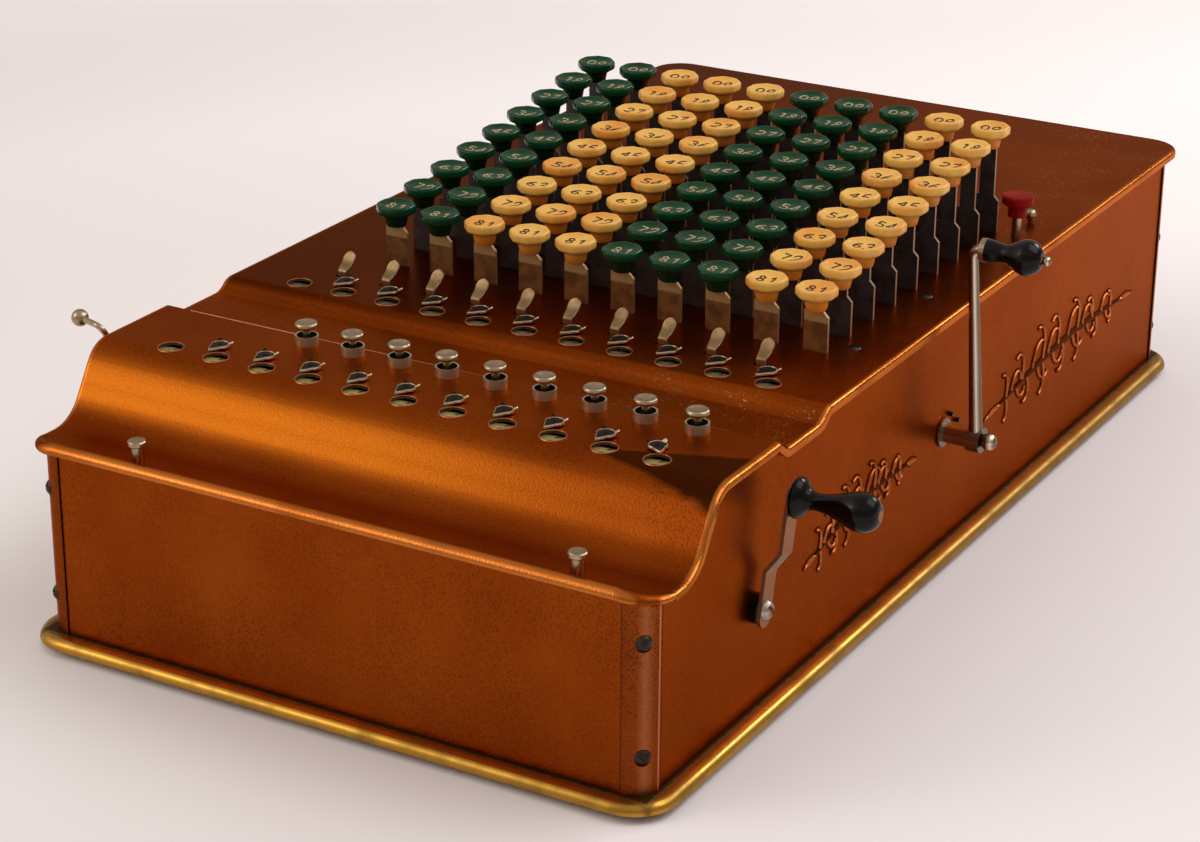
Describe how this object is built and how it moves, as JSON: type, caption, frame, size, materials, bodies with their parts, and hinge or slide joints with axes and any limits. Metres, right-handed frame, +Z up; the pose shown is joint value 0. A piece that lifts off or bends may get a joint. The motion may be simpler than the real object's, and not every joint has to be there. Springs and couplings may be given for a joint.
{
  "type": "key-driven calculator",
  "caption": "Desktop key-driven adding machine with a lacquered metal case, a field of round keys, rows of number windows and side cranks.",
  "frame": {"origin": "centre of the case in plan, on the surface that the four feet stand on", "axes": "+X to the right of someone at the keys, +Y from the front panel to the rear, +Z up"},
  "size_m": [0.3021, 0.46, 0.1414],
  "materials": {
    "lacquer": "glossy copper-coloured lacquer over steel",
    "brass_rim": "polished moulding, slightly worn",
    "rubber": "black feet",
    "post_lacquer": "glossy copper-coloured lacquer",
    "dark_screw": "darkened slotted screws",
    "inner_steel": "plain mill finish",
    "stem_steel": "blued steel with worn lacquer",
    "ivory": "ivory-coloured caps, slightly yellowed",
    "green": "dark green caps",
    "red": "red cap",
    "nickel": "worn nickel plate",
    "strap_steel": "lacquered strap",
    "grip_black": "turned black grip",
    "pointer_metal": "black face with bright edges",
    "number_wheel": "dull wheel rims"
  },
  "bodies": {
    "case": {"base_plate": "brass_rim", "rubber_feet": "rubber", "front_panel": "lacquer", "left_side_panel": "lacquer", "right_side_panel": "lacquer", "rear_panel": "lacquer", "corner_posts": "post_lacquer", "case_screws": "dark_screw", "register_cover": "lacquer", "keyboard_cover": "lacquer", "frame_plates": "inner_steel", "cross_rods": "inner_steel", "key_guide_plate": "inner_steel", "register_shafts": "inner_steel", "crank_stop_pins": "dark_screw", "cover_pins": "nickel", "button_collars": "nickel", "decimal_pointers": "pointer_metal"},
    "key_row_1": {"key_stems_row_1": "stem_steel", "ivory_caps_row_1": "ivory", "green_caps_row_1": "green"},
    "key_row_2": {"key_stems_row_2": "stem_steel", "ivory_caps_row_2": "ivory", "green_caps_row_2": "green"},
    "key_row_3": {"key_stems_row_3": "stem_steel", "ivory_caps_row_3": "ivory", "green_caps_row_3": "green"},
    "key_row_4": {"key_stems_row_4": "stem_steel", "ivory_caps_row_4": "ivory", "green_caps_row_4": "green"},
    "key_row_5": {"key_stems_row_5": "stem_steel", "ivory_caps_row_5": "ivory", "green_caps_row_5": "green"},
    "key_row_6": {"key_stems_row_6": "stem_steel", "ivory_caps_row_6": "ivory", "green_caps_row_6": "green"},
    "key_row_7": {"key_stems_row_7": "stem_steel", "ivory_caps_row_7": "ivory", "green_caps_row_7": "green"},
    "key_row_8": {"key_stems_row_8": "stem_steel", "ivory_caps_row_8": "ivory", "green_caps_row_8": "green"},
    "key_row_9": {"key_stems_row_9": "stem_steel", "ivory_caps_row_9": "ivory", "green_caps_row_9": "green"},
    "column_levers": {"column_levers": "inner_steel"},
    "lower_wheels": {"lower_number_wheels": "number_wheel"},
    "upper_wheels": {"upper_number_wheels": "number_wheel"},
    "cutoff_buttons": {"cutoff_buttons": "nickel"},
    "cutoff_paddles": {"cutoff_paddles": "nickel"},
    "red_key": {"red_key_cap": "red", "red_key_stem": "nickel"},
    "front_crank": {"front_crank_hub": "grip_black", "front_crank_arm": "strap_steel", "front_crank_screw": "strap_steel"},
    "front_grip": {"front_crank_grip": "grip_black"},
    "rear_crank": {"rear_crank_arm": "nickel", "rear_crank_shaft": "nickel"},
    "rear_grip": {"rear_crank_grip": "grip_black"},
    "left_lever": {"left_lever": "nickel"}
  },
  "joints": [
    {"name": "key_row_1_press", "type": "slide", "parent": "case", "child": "key_row_1", "axis": [0, 0, -1], "range_m": [0, 0.00253], "stiffness_N_per_m": 600, "springref_m": -0.006},
    {"name": "key_row_2_press", "type": "slide", "parent": "case", "child": "key_row_2", "axis": [0, 0, -1], "range_m": [0, 0.00456], "stiffness_N_per_m": 600, "springref_m": -0.006},
    {"name": "key_row_3_press", "type": "slide", "parent": "case", "child": "key_row_3", "axis": [0, 0, -1], "range_m": [0, 0.00609], "stiffness_N_per_m": 600, "springref_m": -0.006},
    {"name": "key_row_4_press", "type": "slide", "parent": "case", "child": "key_row_4", "axis": [0, 0, -1], "range_m": [0, 0.00714], "stiffness_N_per_m": 600, "springref_m": -0.006},
    {"name": "key_row_5_press", "type": "slide", "parent": "case", "child": "key_row_5", "axis": [0, 0, -1], "range_m": [0, 0.00769], "stiffness_N_per_m": 600, "springref_m": -0.006},
    {"name": "key_row_6_press", "type": "slide", "parent": "case", "child": "key_row_6", "axis": [0, 0, -1], "range_m": [0, 0.00774], "stiffness_N_per_m": 600, "springref_m": -0.006},
    {"name": "key_row_7_press", "type": "slide", "parent": "case", "child": "key_row_7", "axis": [0, 0, -1], "range_m": [0, 0.0073], "stiffness_N_per_m": 600, "springref_m": -0.006},
    {"name": "key_row_8_press", "type": "slide", "parent": "case", "child": "key_row_8", "axis": [0, 0, -1], "range_m": [0, 0.00637], "stiffness_N_per_m": 600, "springref_m": -0.006},
    {"name": "key_row_9_press", "type": "slide", "parent": "case", "child": "key_row_9", "axis": [0, 0, -1], "range_m": [0, 0.00494], "stiffness_N_per_m": 600, "springref_m": -0.006},
    {"name": "column_lever_swing", "type": "hinge", "parent": "case", "child": "column_levers", "pos_m": [0, 0.122, 0.06], "axis": [1, 0, 0], "range_deg": [0, 6.96], "stiffness_Nm_per_rad": 3, "springref_deg": -14.32},
    {"name": "cutoff_button_press", "type": "slide", "parent": "case", "child": "cutoff_buttons", "axis": [0, 0, -1], "range_m": [0, 0.002], "stiffness_N_per_m": 300, "springref_m": -0.004},
    {"name": "cutoff_paddle_tilt", "type": "hinge", "parent": "case", "child": "cutoff_paddles", "pos_m": [0, -0.0824, 0.09], "axis": [-1, 0, 0], "range_deg": [0, 8], "stiffness_Nm_per_rad": 0.05, "springref_deg": -8.59},
    {"name": "red_key_press", "type": "slide", "parent": "case", "child": "red_key", "axis": [0, 0, -1], "range_m": [0, 0.005], "stiffness_N_per_m": 150, "springref_m": -0.004},
    {"name": "front_crank_turn", "type": "hinge", "parent": "case", "child": "front_crank", "pos_m": [0.118, -0.1515, 0.0435], "axis": [1, 0, 0], "range_deg": [0, 75], "stiffness_Nm_per_rad": 0.1, "springref_deg": -28.65},
    {"name": "front_grip_spin", "type": "hinge", "parent": "front_crank", "child": "front_grip", "pos_m": [0.1272, -0.14273, 0.0815], "axis": [1, 0, 0], "continuous": true},
    {"name": "rear_crank_turn", "type": "hinge", "parent": "case", "child": "rear_crank", "pos_m": [0.118, -0.0035, 0.0518], "axis": [1, 0, 0], "range_deg": [0, 60], "stiffness_Nm_per_rad": 0.2, "springref_deg": -28.65},
    {"name": "rear_grip_spin", "type": "hinge", "parent": "rear_crank", "child": "rear_grip", "pos_m": [0.1361, -0.01562, 0.12835], "axis": [1, 0, 0], "continuous": true},
    {"name": "lower_wheels_turn", "type": "hinge", "parent": "case", "child": "lower_wheels", "pos_m": [0, -0.1768, 0.0847], "axis": [1, 0, 0], "range_deg": [0, 324]},
    {"name": "upper_wheels_turn", "type": "hinge", "parent": "case", "child": "upper_wheels", "pos_m": [0, -0.1004, 0.0843], "axis": [1, 0, 0], "range_deg": [0, 324]},
    {"name": "left_lever_tilt", "type": "hinge", "parent": "case", "child": "left_lever", "pos_m": [-0.118, -0.161, 0.08], "axis": [1, 0, 0], "range_deg": [-12, 12]}
  ],
  "couplings": [
    {"joint": "lower_wheels_turn", "follows": "front_crank_turn", "ratio": 4.32},
    {"joint": "upper_wheels_turn", "follows": "rear_crank_turn", "ratio": 5.4}
  ]
}
